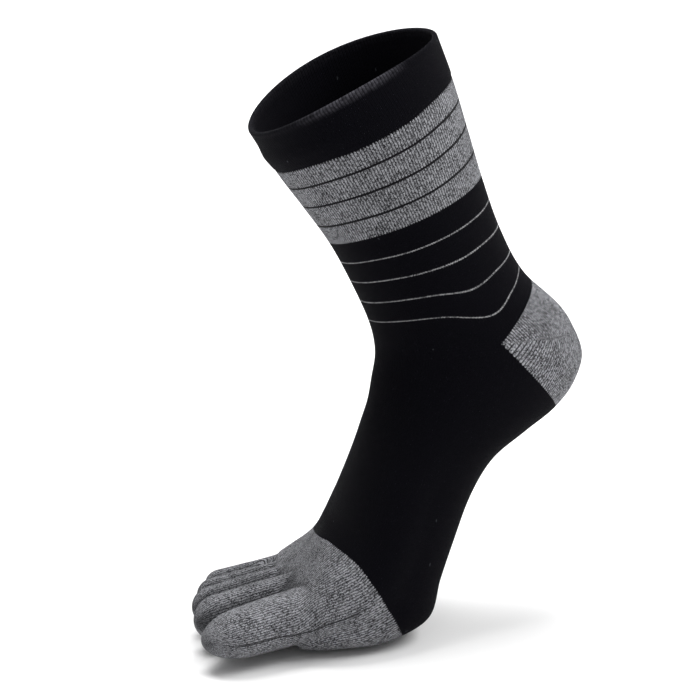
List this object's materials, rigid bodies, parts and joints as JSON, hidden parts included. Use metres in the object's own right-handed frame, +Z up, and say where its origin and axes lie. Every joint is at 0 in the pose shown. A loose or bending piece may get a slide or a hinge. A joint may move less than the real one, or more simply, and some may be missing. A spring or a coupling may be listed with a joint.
{
  "type": "toe sock",
  "caption": "Knitted crew-length toe sock, held open in the shape of a foot on its toes, with a striped leg, a contrast heel pocket and a separate cup for each toe.",
  "frame": {"origin": "middle of the cuff's mouth, where the foot goes in and where the sock is held up", "axes": "+Z up, the toes point along -X with the heel towards +X, +Y towards the little toe's side"},
  "size_m": [0.2146, 0.1442, 0.2751],
  "materials": {
    "cuff": "black fine-gauge knit",
    "leg_band": "grey marl knit",
    "ankle": "black fine-gauge knit",
    "heel": "grey marl knit",
    "foot": "black fine-gauge knit",
    "forefoot": "grey marl knit",
    "big_toe": "grey marl knit",
    "second_toe": "grey marl knit",
    "third_toe": "grey marl knit",
    "fourth_toe": "grey marl knit",
    "little_toe": "grey marl knit"
  },
  "bodies": {
    "root": {"cuff": "cuff", "leg_band": "leg_band", "ankle": "ankle", "heel": "heel", "foot": "foot", "forefoot": "forefoot", "big_toe": "big_toe", "second_toe": "second_toe", "third_toe": "third_toe", "fourth_toe": "fourth_toe", "little_toe": "little_toe"}
  },
  "joints": []
}
